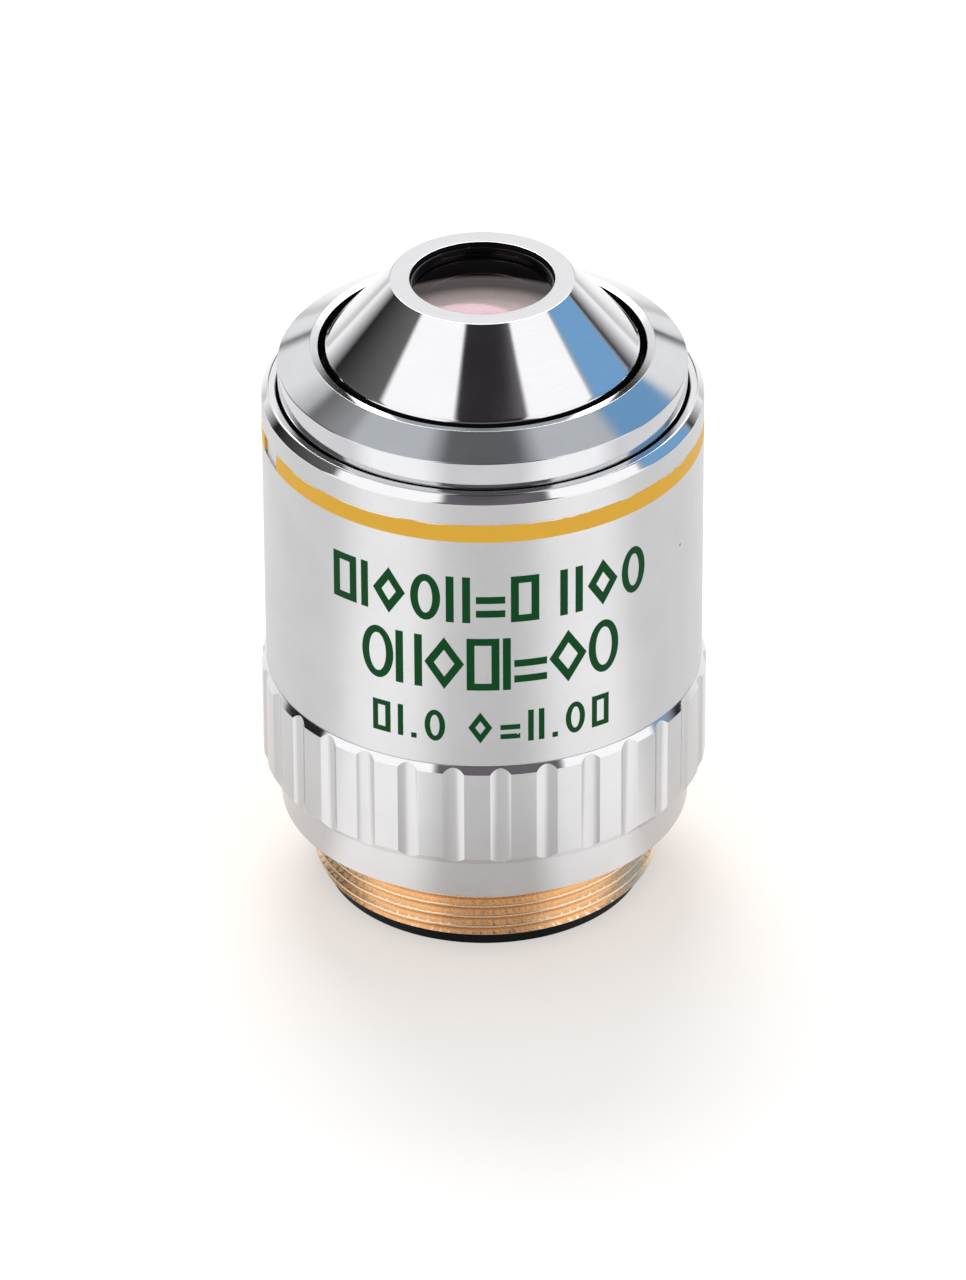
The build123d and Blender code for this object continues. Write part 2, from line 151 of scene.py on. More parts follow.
def turnProfile(profile, steps):
    # the lathe: spins the section round the optical axis
    editMode(profile)
    bpy.ops.mesh.select_all(action="SELECT")
    bpy.ops.mesh.spin(steps=steps, angle=math.radians(360), center=(0, 0, 0), axis=(0, 0, 1))
    bpy.ops.object.mode_set(mode="OBJECT")
    cleanMesh(profile)
    return profile


def turned(name, points, closed=True, rounding=(), steps=latheSteps, smooth=softAngle):
    piece = turnProfile(drawProfile(name, points, closed, rounding), steps)
    finishSmooth(piece, smooth)
    if closed:
        keepFlats(piece)
    return piece


def useModifier(piece, kind, **values):
    makeActive(piece)
    bpy.ops.object.modifier_add(type=kind)
    modifier = piece.modifiers[-1]
    for key, value in values.items():
        setattr(modifier, key, value)
    bpy.ops.object.modifier_apply(modifier=modifier.name)


def cutAway(piece, cutter):
    useModifier(piece, "BOOLEAN", operation="DIFFERENCE", solver="EXACT", object=cutter)
    bpy.data.objects.remove(cutter)


def copyOf(piece, name):
    double = piece.copy()
    double.data = piece.data.copy()
    double.name = name
    bpy.context.collection.objects.link(double)
    return double


def joinAll(parts, name):
    nothingSelected()
    for part in parts:
        part.select_set(True)
    bpy.context.view_layer.objects.active = parts[0]
    bpy.ops.object.join()
    joined = bpy.context.object
    joined.name = name
    return joined


def standsFor(piece, node):
    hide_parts(node)
    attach(piece, "root")


def reach(node):
    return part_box(node)[1].x


def span(node):
    low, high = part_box(node)
    return low.z, high.z


# radii and heights that the outlines below take from the solids
sleeveRadius = reach("outer_sleeve")
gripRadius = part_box("grip_ring")[1].y
bodyRadius = reach("lower_body")
collarRadius = reach("front_collar")
noseRadius = reach("nose_cone")
ringRadius = reach("rear_stop_ring")
sleeveLow, sleeveHigh = span("outer_sleeve")
gripLow, gripHigh = span("grip_ring")
bodyLow, bodyHigh = span("lower_body")
barrelHigh = span("threaded_barrel")[1]
collarLow, collarHigh = span("front_collar")
noseLow, noseHigh = span("nose_cone")
bandLow, bandHigh = span("colour_band")
lensLow = span("front_lens")[0]
lensRingLow, lensRingHigh = span("front_lens_ring")


# node groups: effects that several finishes share

def newGroup(name, inputs, outputs):
    group = bpy.data.node_groups.new(name, "ShaderNodeTree")
    for label, kind, value in inputs:
        socket = group.interface.new_socket(name=label, in_out="INPUT", socket_type=kind)
        if value is not None:
            socket.default_value = value
    for label, kind in outputs:
        group.interface.new_socket(name=label, in_out="OUTPUT", socket_type=kind)
    start = group.nodes.new("NodeGroupInput")
    end = group.nodes.new("NodeGroupOutput")
    return group, start, end


def addNode(tree, kind, **values):
    node = tree.nodes.new(kind)
    for key, value in values.items():
        if key in node.bl_rna.properties:
            setattr(node, key, value)
        else:
            node.inputs[key].default_value = value
    return node


def wire(tree, source, output, target, socket):
    tree.links.new(source.outputs[output], target.inputs[socket])


def addMath(tree, operation, first, second=None):
    # each value is a number or a (node, output) pair
    node = tree.nodes.new("ShaderNodeMath")
    node.operation = operation
    for index, value in enumerate((first, second)):
        if isinstance(value, tuple):
            wire(tree, value[0], value[1], node, index)
        elif value is not None:
            node.inputs[index].default_value = value
    return node


def makeTurnedLines():
    # fine lines left by a lathe tool: they run round the axis and change along the outline
    radiusPace = 1.7  # the pattern moves on faster along a radius than along the height
    onAxis = 0.001 * mm
    group, start, end = newGroup(
        "turnedLines",
        [("Vector", "NodeSocketVector", None), ("Lines per mm", "NodeSocketFloat", 20.0),
         ("Breaks", "NodeSocketFloat", 2.0), ("Detail", "NodeSocketFloat", 3.0)],
        [("Lines", "NodeSocketFloat"), ("Radius", "NodeSocketFloat")],
    )
    split = addNode(group, "ShaderNodeSeparateXYZ")
    wire(group, start, "Vector", split, 0)
    across = addMath(group, "POWER", (split, "X"), 2.0)
    along = addMath(group, "POWER", (split, "Y"), 2.0)
    radiusSquared = addMath(group, "ADD", (across, 0), (along, 0))
    radius = addMath(group, "SQRT", (radiusSquared, 0))
    safeRadius = addMath(group, "MAXIMUM", (radius, 0), onAxis)
    sine = addMath(group, "DIVIDE", (split, "X"), (safeRadius, 0))
    cosine = addMath(group, "DIVIDE", (split, "Y"), (safeRadius, 0))
    sineScaled = addMath(group, "MULTIPLY", (sine, 0), (start, "Breaks"))
    cosineScaled = addMath(group, "MULTIPLY", (cosine, 0), (start, "Breaks"))
    # radius and height both move the pattern on, so flats, cones and walls all get lines
    steepRadius = addMath(group, "MULTIPLY", (radius, 0), radiusPace)
    travel = addMath(group, "SUBTRACT", (split, "Z"), (steepRadius, 0))
    perMetre = addMath(group, "MULTIPLY", (start, "Lines per mm"), 1 / mm)
    travelScaled = addMath(group, "MULTIPLY", (travel, 0), (perMetre, 0))
    place = addNode(group, "ShaderNodeCombineXYZ")
    wire(group, sineScaled, 0, place, "X")
    wire(group, cosineScaled, 0, place, "Y")
    wire(group, travelScaled, 0, place, "Z")
    noise = addNode(group, "ShaderNodeTexNoise", noise_dimensions="3D", Scale=1.0, Roughness=0.6)
    wire(group, place, 0, noise, "Vector")
    wire(group, start, "Detail", noise, "Detail")
    wire(group, noise, "Fac", end, "Lines")
    wire(group, radius, 0, end, "Radius")
    return group


def makeGrain():
    # even grain of a satin or blasted surface, from large cloudy patches down to fine tooth
    group, start, end = newGroup(
        "surfaceGrain",
        [("Vector", "NodeSocketVector", None), ("Fine size", "NodeSocketFloat", 9000.0),
         ("Patch size", "NodeSocketFloat", 260.0)],
        [("Grain", "NodeSocketFloat"), ("Patches", "NodeSocketFloat")],
    )
    fine = addNode(group, "ShaderNodeTexNoise", Detail=4.0, Roughness=0.65)
    wire(group, start, "Vector", fine, "Vector")
    wire(group, start, "Fine size", fine, "Scale")
    patches = addNode(group, "ShaderNodeTexNoise", Detail=5.0, Roughness=0.55, Distortion=0.4)
    wire(group, start, "Vector", patches, "Vector")
    wire(group, start, "Patch size", patches, "Scale")
    wire(group, fine, "Fac", end, "Grain")
    wire(group, patches, "Fac", end, "Patches")
    return group


def makeDust():
    # scattered specks: small cells, of which only a few carry a grain of dust
    group, start, end = newGroup(
        "dustSpecks",
        [("Vector", "NodeSocketVector", None), ("Cells", "NodeSocketFloat", 2600.0),
         ("Share", "NodeSocketFloat", 0.1), ("Size", "NodeSocketFloat", 0.22)],
        [("Specks", "NodeSocketFloat")],
    )
    cells = addNode(group, "ShaderNodeTexVoronoi", Randomness=1.0)
    wire(group, start, "Vector", cells, "Vector")
    wire(group, start, "Cells", cells, "Scale")
    tint = addNode(group, "ShaderNodeSeparateColor")
    wire(group, cells, "Color", tint, 0)
    chosen = addMath(group, "LESS_THAN", (tint, "Red"), (start, "Share"))
    grown = addMath(group, "MULTIPLY", (tint, "Green"), (start, "Size"))
    inside = addMath(group, "LESS_THAN", (cells, "Distance"), (grown, 0))
    specks = addMath(group, "MULTIPLY", (chosen, 0), (inside, 0))
    wire(group, specks, 0, end, "Specks")
    return group


def makeSmudges():
    # faint finger marks and wipe streaks
    drawnTall = (1.0, 1.0, 0.45)
    leaning = (0.5, 0.2, 0.0)
    group, start, end = newGroup(
        "smudges",
        [("Vector", "NodeSocketVector", None), ("Size", "NodeSocketFloat", 160.0),
         ("From", "NodeSocketFloat", 0.45), ("To", "NodeSocketFloat", 0.7)],
        [("Mask", "NodeSocketFloat")],
    )
    stretch = addNode(group, "ShaderNodeMapping")
    stretch.inputs["Scale"].default_value = drawnTall
    stretch.inputs["Rotation"].default_value = leaning
    wire(group, start, "Vector", stretch, "Vector")
    noise = addNode(group, "ShaderNodeTexNoise", Detail=6.0, Roughness=0.6, Distortion=1.2)
    wire(group, stretch, 0, noise, "Vector")
    wire(group, start, "Size", noise, "Scale")
    ramp = addNode(group, "ShaderNodeMapRange")
    wire(group, noise, "Fac", ramp, "Value")
    wire(group, start, "From", ramp, "From Min")
    wire(group, start, "To", ramp, "From Max")
    wire(group, ramp, 0, end, "Mask")
    return group


turnedLines = makeTurnedLines()
surfaceGrain = makeGrain()
dustSpecks = makeDust()
smudges = makeSmudges()


def newMaterial(name):
    material = bpy.data.materials.new(name)
    material.use_nodes = True
    tree = material.node_tree
    shader = tree.nodes["Principled BSDF"]
    place = addNode(tree, "ShaderNodeTexCoord")
    return material, tree, shader, place


def useGroup(tree, group, place, **values):
    node = tree.nodes.new("ShaderNodeGroup")
    node.node_tree = group
    wire(tree, place, "Object", node, "Vector")
    for key, value in values.items():
        node.inputs[key.replace("_", " ")].default_value = value
    return node


def blendColours(tree, mask, first, second):
    # mask is a (node, output) pair; each colour is a tuple or a (node, output) pair
    mix = addNode(tree, "ShaderNodeMix", data_type="RGBA")
    wire(tree, mask[0], mask[1], mix, 0)
    for socket, value in ((6, first), (7, second)):
        if len(value) == 2:
            wire(tree, value[0], value[1], mix, socket)
        else:
            mix.inputs[socket].default_value = (*value, 1.0)
    return mix


def remap(tree, source, low, high, fromLow=0.0, fromHigh=1.0):
    node = addNode(tree, "ShaderNodeMapRange")
    wire(tree, source[0], source[1], node, "Value")
    node.inputs["From Min"].default_value = fromLow
    node.inputs["From Max"].default_value = fromHigh
    node.inputs["To Min"].default_value = low
    node.inputs["To Max"].default_value = high
    return node


def addBump(tree, shader, height, strength, distance, before=None):
    bump = addNode(tree, "ShaderNodeBump", Strength=strength, Distance=distance)
    wire(tree, height[0], height[1], bump, "Height")
    if before:
        wire(tree, before, "Normal", bump, "Normal")
    wire(tree, bump, "Normal", shader, "Normal")
    return bump


# finishes

white = (1.0, 1.0, 1.0)
grainRange = (0.3, 0.7)  # what the noise of the grain really covers

metalValues = {
    "lineShade": (0.93, 0.93, 0.93),
    "breaks": 3.0,
    "speckCells": 1500.0,
    "speckSize": 0.14,
    "smudgeRough": 0.035,
    "speckRough": 0.4,
    "drawnTurn": 0.25,
    "bumpDepth": 0.004 * mm,
}

satinValues = {
    "bright": (0.66, 0.66, 0.67),
    "dull": (0.57, 0.57, 0.585),
    "roughLow": 0.27,
    "roughHigh": 0.40,
    "linesPerMm": 26.0,
    "lineBump": 0.10,
    "grainBump": 0.16,
    "drawnOut": 0.45,  # how far the lathe lines draw a reflection out across them
    "specks": 0.012,
    "speckColour": (0.30, 0.29, 0.28),
}


def makeMetal(name, values):
    material, tree, shader, place = newMaterial(name)
    lines = useGroup(tree, turnedLines, place, Lines_per_mm=values["linesPerMm"],
                     Breaks=metalValues["breaks"])
    grain = useGroup(tree, surfaceGrain, place)
    marks = useGroup(tree, smudges, place)
    toned = blendColours(tree, (grain, "Patches"), values["dull"], values["bright"])
    if "paintedValleyShade" in values:
        # painted shade: the roots of the thread are coloured darker, standing in for the shade that falls in
        # them
        valleyShadeMask = remap(tree, (lines, "Radius"), 0.0, 1.0, values["valleyShadeFrom"], values["valleyShadeTo"])
        toned = blendColours(tree, (valleyShadeMask, 0), values["paintedValleyShade"], (toned, 2))
    dust = useGroup(tree, dustSpecks, place, Cells=metalValues["speckCells"],
                    Share=values["specks"], Size=metalValues["speckSize"])
    toned = blendColours(tree, (dust, "Specks"), (toned, 2), values["speckColour"])
    darker = blendColours(tree, (lines, "Lines"), metalValues["lineShade"], white)
    final = addNode(tree, "ShaderNodeMix", data_type="RGBA", blend_type="MULTIPLY")
    final.inputs[0].default_value = 1.0
    wire(tree, toned, 2, final, 6)
    wire(tree, darker, 2, final, 7)
    wire(tree, final, 2, shader, "Base Color")
    rough = remap(tree, (grain, "Grain"), values["roughLow"], values["roughHigh"], *grainRange)
    smear = remap(tree, (marks, "Mask"), 0.0, metalValues["smudgeRough"])
    smeared = addMath(tree, "ADD", (rough, 0), (smear, 0))
    speckRough = addMath(tree, "MULTIPLY", (dust, "Specks"), metalValues["speckRough"])
    total = addMath(tree, "ADD", (smeared, 0), (speckRough, 0))
    wire(tree, total, 0, shader, "Roughness")
    shader.inputs["Metallic"].default_value = 1.0
    shader.inputs["Anisotropic"].default_value = values["drawnOut"]
    shader.inputs["Anisotropic Rotation"].default_value = metalValues["drawnTurn"]
    tangent = addNode(tree, "ShaderNodeTangent", direction_type="RADIAL", axis="Z")
    wire(tree, tangent, 0, shader, "Tangent")
    first = addBump(tree, shader, (lines, "Lines"), values["lineBump"], metalValues["bumpDepth"])
    addBump(tree, shader, (grain, "Grain"), values["grainBump"], metalValues["bumpDepth"], first)
    return material


satinChrome = makeMetal("satinChrome", satinValues)

gripValues = dict(satinValues, bright=(0.64, 0.64, 0.65), dull=(0.56, 0.56, 0.575), roughLow=0.15,
                  roughHigh=0.24, lineBump=0.06, grainBump=0.08, drawnOut=0.15)
gripChrome = makeMetal("gripChrome", gripValues)

collarValues = dict(satinValues, bright=(0.68, 0.685, 0.70), dull=(0.58, 0.585, 0.61), roughLow=0.07,
                    roughHigh=0.10, linesPerMm=16.0, lineBump=0.08, grainBump=0.02, drawnOut=0.2)
collarChrome = makeMetal("collarChrome", collarValues)

noseValues = dict(satinValues, bright=(0.76, 0.76, 0.775), dull=(0.71, 0.71, 0.73), roughLow=0.045,
                  roughHigh=0.08, linesPerMm=5.0, lineBump=0.03, grainBump=0.012, drawnOut=0.15)
noseChrome = makeMetal("noseChrome", noseValues)

brassValues = {
    "bright": (0.98, 0.73, 0.49),
    "dull": (0.91, 0.63, 0.39),
    "roughLow": 0.22,
    "roughHigh": 0.31,
    "linesPerMm": 14.0,
    "lineBump": 0.07,
    "grainBump": 0.05,
    "drawnOut": 0.3,
    # painted shade: the thread's roots, out to the second radius below, are coloured darker
    "paintedValleyShade": (0.62, 0.38, 0.21),
    "valleyShadeFrom": 9.71 * mm,
    "valleyShadeTo": 9.90 * mm,
    "specks": 0.03,
    "speckColour": (0.30, 0.22, 0.15),
}
turnedBrass = makeMetal("turnedBrass", brassValues)

blackValues = {
    "base": (0.0035, 0.0035, 0.004),
    "worn": (0.008, 0.008, 0.009),
    "dust": (0.22, 0.22, 0.21),
    "lineBump": 0.25,
    "grainBump": 0.35,
    "bumpDepth": 0.006 * mm,
}


def makeBlack(name, dustShare, roughLow, roughHigh, shine):
    material, tree, shader, place = newMaterial(name)
    grain = useGroup(tree, surfaceGrain, place, Fine_size=6000.0)
    lines = useGroup(tree, turnedLines, place, Lines_per_mm=12.0, Breaks=2.0)
    dust = useGroup(tree, dustSpecks, place, Share=dustShare)
    worn = blendColours(tree, (grain, "Patches"), blackValues["base"], blackValues["worn"])
    dusty = blendColours(tree, (dust, "Specks"), (worn, 2), blackValues["dust"])
    wire(tree, dusty, 2, shader, "Base Color")
    rough = remap(tree, (grain, "Grain"), roughLow, roughHigh, *grainRange)
    wire(tree, rough, 0, shader, "Roughness")
    first = addBump(tree, shader, (lines, "Lines"), blackValues["lineBump"], blackValues["bumpDepth"])
    addBump(tree, shader, (grain, "Grain"), blackValues["grainBump"], blackValues["bumpDepth"], first)
    shader.inputs["Specular IOR Level"].default_value = shine
    return material


blackAnodised = makeBlack("blackAnodised", dustShare=0.06, roughLow=0.40, roughHigh=0.55, shine=0.10)
blackInside = makeBlack("blackInside", dustShare=0.02, roughLow=0.50, roughHigh=0.70, shine=0.10)
blackRing = makeBlack("blackRing", dustShare=0.02, roughLow=0.16, roughHigh=0.28, shine=0.45)

enamelValues = {
    "yellow": (0.740, 0.420, 0.050),
    "yellowThin": (0.680, 0.375, 0.040),
    "green": (0.0008, 0.052, 0.010),
    "greenThin": (0.002, 0.064, 0.014),
    "raggedEdge": 0.10 * mm,
    "overfillShare": 0.2,  # of the ragged edge: how far the filling can pass the groove's edge
    "waveRange": (0.38, 0.62),
    "bareEdge": (0.70, 0.68, 0.62),
    "dust": (0.45, 0.43, 0.38),
    "shine": 0.08,
    "roughSpread": 0.15,
    "grainBump": 0.30,
    "bumpDepth": 0.010 * mm,
}


def makeEnamel(name, deep, thin, rough, edgeHeight=None):
    material, tree, shader, place = newMaterial(name)
    grain = useGroup(tree, surfaceGrain, place, Fine_size=5200.0, Patch_size=900.0)
    dust = useGroup(tree, dustSpecks, place, Share=0.05)
    coat = blendColours(tree, (grain, "Patches"), deep, thin)
    if edgeHeight:
        # the filling stops unevenly just under the groove's top edge and leaves bare metal there
        split = addNode(tree, "ShaderNodeSeparateXYZ")
        wire(tree, place, "Object", split, 0)
        waves = useGroup(tree, surfaceGrain, place, Fine_size=1500.0, Patch_size=420.0)
        overfill = -enamelValues["overfillShare"] * enamelValues["raggedEdge"]
        depth = remap(tree, (waves, "Patches"), overfill, enamelValues["raggedEdge"],
                      *enamelValues["waveRange"])
        limit = addMath(tree, "SUBTRACT", edgeHeight, (depth, 0))
        bare = addMath(tree, "GREATER_THAN", (split, "Z"), (limit, 0))
        coat = blendColours(tree, (bare, 0), (coat, 2), enamelValues["bareEdge"])
        wire(tree, bare, 0, shader, "Metallic")
    dusty = blendColours(tree, (dust, "Specks"), (coat, 2), enamelValues["dust"])
    wire(tree, dusty, 2, shader, "Base Color")
    shader.inputs["Specular IOR Level"].default_value = enamelValues["shine"]
    roughest = rough + enamelValues["roughSpread"]
    roughness = remap(tree, (grain, "Grain"), rough, roughest, *grainRange)
    wire(tree, roughness, 0, shader, "Roughness")
    addBump(tree, shader, (grain, "Grain"), enamelValues["grainBump"], enamelValues["bumpDepth"])
    return material


yellowEnamel = makeEnamel("yellowEnamel", enamelValues["yellow"], enamelValues["yellowThin"],
                          rough=0.34, edgeHeight=bandHigh)
greenEnamel = makeEnamel("greenEnamel", enamelValues["green"], enamelValues["greenThin"], rough=0.30)


glassValues = {
    "dust": (0.85, 0.83, 0.84),
    "cleanRough": 0.015,
    "smudgedRough": 0.05,
    "refraction": 1.52,
}


def makeGlass(name, tint, film):
    material, tree, shader, place = newMaterial(name)
    dust = useGroup(tree, dustSpecks, place, Cells=1700.0, Share=0.045, Size=0.16)
    marks = useGroup(tree, smudges, place, Size=420.0, From=0.5, To=0.8)
    colour = blendColours(tree, (dust, "Specks"), tint, glassValues["dust"])
    wire(tree, colour, 2, shader, "Base Color")
    rough = remap(tree, (marks, "Mask"), glassValues["cleanRough"], glassValues["smudgedRough"])
    wire(tree, rough, 0, shader, "Roughness")
    shader.inputs["Transmission Weight"].default_value = 1.0
    shader.inputs["IOR"].default_value = glassValues["refraction"]
    shader.inputs["Specular Tint"].default_value = (*film, 1.0)
    return material


frontGlass = makeGlass("frontGlass", tint=(0.42, 0.26, 0.36), film=(0.66, 0.48, 0.41))
innerGlass = makeGlass("innerGlass", tint=(0.16, 0.08, 0.19), film=(0.14, 0.06, 0.20))
screwValues = dict(satinValues, bright=(0.52, 0.51, 0.50), dull=(0.42, 0.41, 0.40))
screwSteel = makeMetal("screwSteel", screwValues)
print("finishes made")


def dress(piece, *materials):
    piece.data.materials.clear()
    for material in materials:
        piece.data.materials.append(material)


def paintFaces(piece, index, wanted):
    # gives the faces that the test picks their own material
    for face in piece.data.polygons:
        if wanted(face.center, face.normal):
            face.material_index = index


def radiusOf(point):
    return math.hypot(point.x, point.y)


# rear stop ring: black flange with the light bore

stopRing = {
    "flangeTop": 0.96 * mm,
    "spigotRadius": 8.37 * mm,
    "boreRadius": 6.0 * mm,
    "flare": 0.6 * mm,
    "rounding": 0.05 * mm,
}


def buildStopRing(values):
    low, high = span("rear_stop_ring")
    corners = [(ringRadius, low), (ringRadius, values["flangeTop"])]
    piece = turned("rearStopRing", [
        (values["boreRadius"] + values["flare"], low),
        corners[0],
        corners[1],
        (values["spigotRadius"], values["flangeTop"]),
        (values["spigotRadius"], high),
        (values["boreRadius"], high),
        (values["boreRadius"], low + values["flare"]),
    ], rounding=[(corners, values["rounding"], cornerSteps)])
    dress(piece, blackAnodised)
    standsFor(piece, "rear_stop_ring")
    print("rear stop ring built")


buildStopRing(stopRing)


# threaded barrel: the mount thread is cut as a real helix

barrel = {
    "threadRadius": 10.16 * mm,
    "threadDepth": 0.45 * mm,
    "threadPitch": 0.7056 * mm,
    "crestShare": 0.28,
    "threadStart": 0.96 * mm,
    "threadChamfer": 0.16 * mm,
    "reliefLow": 4.3344 * mm,
    "shoulder": 5.04 * mm,
    "flangeRadius": 11.22 * mm,
    "flangeTop": 6.64 * mm,
    "tubeRadius": 10.40 * mm,
    "tubeBore": 8.80 * mm,
    "rearBore": 8.40 * mm,
    "rearBoreTop": 4.16 * mm,
    "lipRadius": 6.90 * mm,
    "lipTop": 5.20 * mm,
    "screwRadius": 0.73 * mm,
    "screwHeight": 7.6 * mm,
    "screws": 3,
    "rounding": 0.03 * mm,
    "smoothAngle": 35,
    "brassAbove": 0.1 * mm,
}

threadCutter = {
    "overrun": 0.15 * mm,
    "rootFlat": 0.02 * mm,
    "leadInTurns": 1.3,
    "turns": 6.25,
    "stepsPerTurn": 160,
}

screwDrill = {
    "depth": 6 * mm,
    "sides": 40,
}


def buildThreadCutter(values, cut):
    # a V section on a slope, taken round by the screw modifier
    pitch = values["threadPitch"]
    root = values["threadRadius"] - values["threadDepth"]
    out = values["threadRadius"] + cut["overrun"]
    halfWidth = pitch * (1 - values["crestShare"]) / 2
    slope = halfWidth / values["threadDepth"]
    outHalf = slope * (out - root)
    low = values["threadStart"] - cut["leadInTurns"] * pitch
    turns = cut["turns"]
    flat = cut["rootFlat"]
    cutter = drawProfile("threadCutter", [
        (root, low + flat),
        (out, low + outHalf),
        (out, low - outHalf),
        (root, low - flat),
    ])
    makeActive(cutter)
    bpy.ops.object.modifier_add(type="SCREW")
    screw = cutter.modifiers[-1]
    screw.angle = math.radians(360 * turns)
    screw.screw_offset = pitch * turns
    screw.iterations = 1
    screw.steps = int(cut["stepsPerTurn"] * turns)
    screw.render_steps = screw.steps
    screw.use_normal_calculate = True
    bpy.ops.object.modifier_apply(modifier=screw.name)
    editMode(cutter)
    bpy.ops.mesh.select_non_manifold()
    bpy.ops.mesh.fill_holes(sides=0)
    bpy.ops.object.mode_set(mode="OBJECT")
    cleanMesh(cutter)
    return cutter


def buildScrewDrill(values, drill):
    holes = []
    middle = values["tubeRadius"]
    for index in range(values["screws"]):
        turn = math.radians(360 * index / values["screws"])
        nothingSelected()
        bpy.ops.mesh.primitive_cylinder_add(
            vertices=drill["sides"], radius=values["screwRadius"], depth=drill["depth"],
            location=(middle * math.cos(turn), middle * math.sin(turn), values["screwHeight"]),
            rotation=(0, math.pi / 2, turn))
        bpy.ops.object.transform_apply(location=True, rotation=True, scale=True)
        holes.append(bpy.context.object)
    return joinAll(holes, "screwDrill")


def buildBarrel(values):
    threadRadius = values["threadRadius"]
    root = threadRadius - values["threadDepth"]
    start = values["threadStart"]
    chamfer = values["threadChamfer"]
    flangeRadius = values["flangeRadius"]
    flangeEdges = [(flangeRadius, values["shoulder"]), (flangeRadius, values["flangeTop"])]
    tubeEdges = [(values["tubeRadius"], barrelHigh), (values["tubeBore"], barrelHigh)]
    piece = turned("threadedBarrel", [
        (values["rearBore"], start),
        (threadRadius - chamfer, start),
        (threadRadius, start + chamfer),
        (threadRadius, values["reliefLow"]),
        (root, values["reliefLow"]),
        (root, values["shoulder"]),
        *flangeEdges,
        (values["tubeRadius"], values["flangeTop"]),
        *tubeEdges,
        (values["tubeBore"], values["lipTop"]),
        (values["lipRadius"], values["lipTop"]),
        (values["lipRadius"], values["rearBoreTop"]),
        (values["rearBore"], values["rearBoreTop"]),
    ], rounding=[(flangeEdges + tubeEdges, values["rounding"], smallCornerSteps)])
    cutAway(piece, buildThreadCutter(values, threadCutter))
    cutAway(piece, buildScrewDrill(values, screwDrill))
    cleanMesh(piece)
    finishSmooth(piece, values["smoothAngle"])
    keepFlats(piece)
    dress(piece, turnedBrass, blackInside)
    brassTop = values["flangeTop"] + values["brassAbove"]
    paintFaces(piece, 1, lambda centre, normal: centre.z > brassTop)
    standsFor(piece, "threaded_barrel")
    print("threaded barrel built")


buildBarrel(barrel)


# lower body: satin skirt under the grip

lowerBody = {
    "flangeBore": 11.25 * mm,
    "step": 9.02 * mm,
    "upperRadius": 11.90 * mm,
    "upperBore": 11.0 * mm,
    "webTop": 8.24 * mm,
    "tubeClear": 10.43 * mm,
    "flangeTop": barrel["flangeTop"],
    "rounding": 0.07 * mm,
}


def buildLowerBody(values):
    edges = [(bodyRadius, bodyLow), (values["flangeBore"], bodyLow)]
    piece = turned("lowerBody", [
        edges[1],
        edges[0],
        (bodyRadius, values["step"]),
        (values["upperRadius"], values["step"]),
        (values["upperRadius"], bodyHigh),
        (values["upperBore"], bodyHigh),
        (values["upperBore"], values["webTop"]),
        (values["tubeClear"], values["webTop"]),
        (values["tubeClear"], values["flangeTop"]),
        (values["flangeBore"], values["flangeTop"]),
    ], rounding=[(edges, values["rounding"], cornerSteps)])
    dress(piece, gripChrome)
    standsFor(piece, "lower_body")
    print("lower body built")


buildLowerBody(lowerBody)


# grip ring: thirty shallow concave flutes

grip = {
    "lowEdgeRadius": 12.80 * mm,
    "lowChamfer": 0.48 * mm,
    "highChamfer": 0.47 * mm,
    "lowBore": 12.10 * mm,
    "highBore": 11.93 * mm,
    "boreStep": lowerBody["step"],
    "flutes": 30,
    "fluteDepth": 0.19 * mm,
    "cutterRadius": 1.17 * mm,
    "cutterLength": 9 * mm,
    "cutterSides": 96,
    "firstFlute": -85.95,
    "mergeWithin": 0.002 * mm,
    "edgeBevel": 0.035 * mm,
    "edgeSteps": 2,
    "edgeAngle": 18,
    "smoothAngle": 30,
    "shelfTilt": 0.2,
    "shelfReach": 0.1 * mm,
}


def buildFluteCutter(values):
    fromAxis = gripRadius - values["fluteDepth"] + values["cutterRadius"]
    middle = (gripLow + gripHigh) / 2
    nothingSelected()
    bpy.ops.mesh.primitive_cylinder_add(
        vertices=values["cutterSides"], radius=values["cutterRadius"], depth=values["cutterLength"])
    cutters = [bpy.context.object]
    for index in range(1, values["flutes"]):
        cutters.append(copyOf(cutters[0], "fluteCutter"))
    for index, cutter in enumerate(cutters):
        turn = math.radians(values["firstFlute"] + 360 * index / values["flutes"])
        cutter.location = (fromAxis * math.cos(turn), fromAxis * math.sin(turn), middle)
        cutter.rotation_euler = (0, 0, turn)
    joined = joinAll(cutters, "fluteCutter")
    bpy.ops.object.transform_apply(location=True, rotation=True, scale=True)
    return joined


def buildGrip(values):
    piece = turned("gripRing", [
        (values["lowBore"], gripLow),
        (values["lowEdgeRadius"], gripLow),
        (gripRadius, gripLow + values["lowChamfer"]),
        (gripRadius, gripHigh - values["highChamfer"]),
        (sleeveRadius, gripHigh),
        (values["highBore"], gripHigh),
        (values["highBore"], values["boreStep"]),
        (values["lowBore"], values["boreStep"]),
    ], steps=fineLatheSteps)
    cutAway(piece, buildFluteCutter(values))
    cleanMesh(piece, values["mergeWithin"])
    useModifier(piece, "BEVEL", width=values["edgeBevel"], segments=values["edgeSteps"], limit_method="ANGLE",
                angle_limit=math.radians(values["edgeAngle"]), harden_normals=False)
    finishSmooth(piece, values["smoothAngle"])
    keepFlats(piece)
    dress(piece, gripChrome, noseChrome)
    shelfLow = gripHigh - values["highChamfer"]
    shelfInner = sleeveRadius - values["shelfReach"]
    paintFaces(piece, 1, lambda centre, normal: abs(normal.z) > values["shelfTilt"]
               and centre.z > shelfLow and radiusOf(centre) > shelfInner)
    standsFor(piece, "grip_ring")
    print("grip ring built")


buildGrip(grip)


# outer sleeve: long satin tube with the band's groove, which runs all the way round here

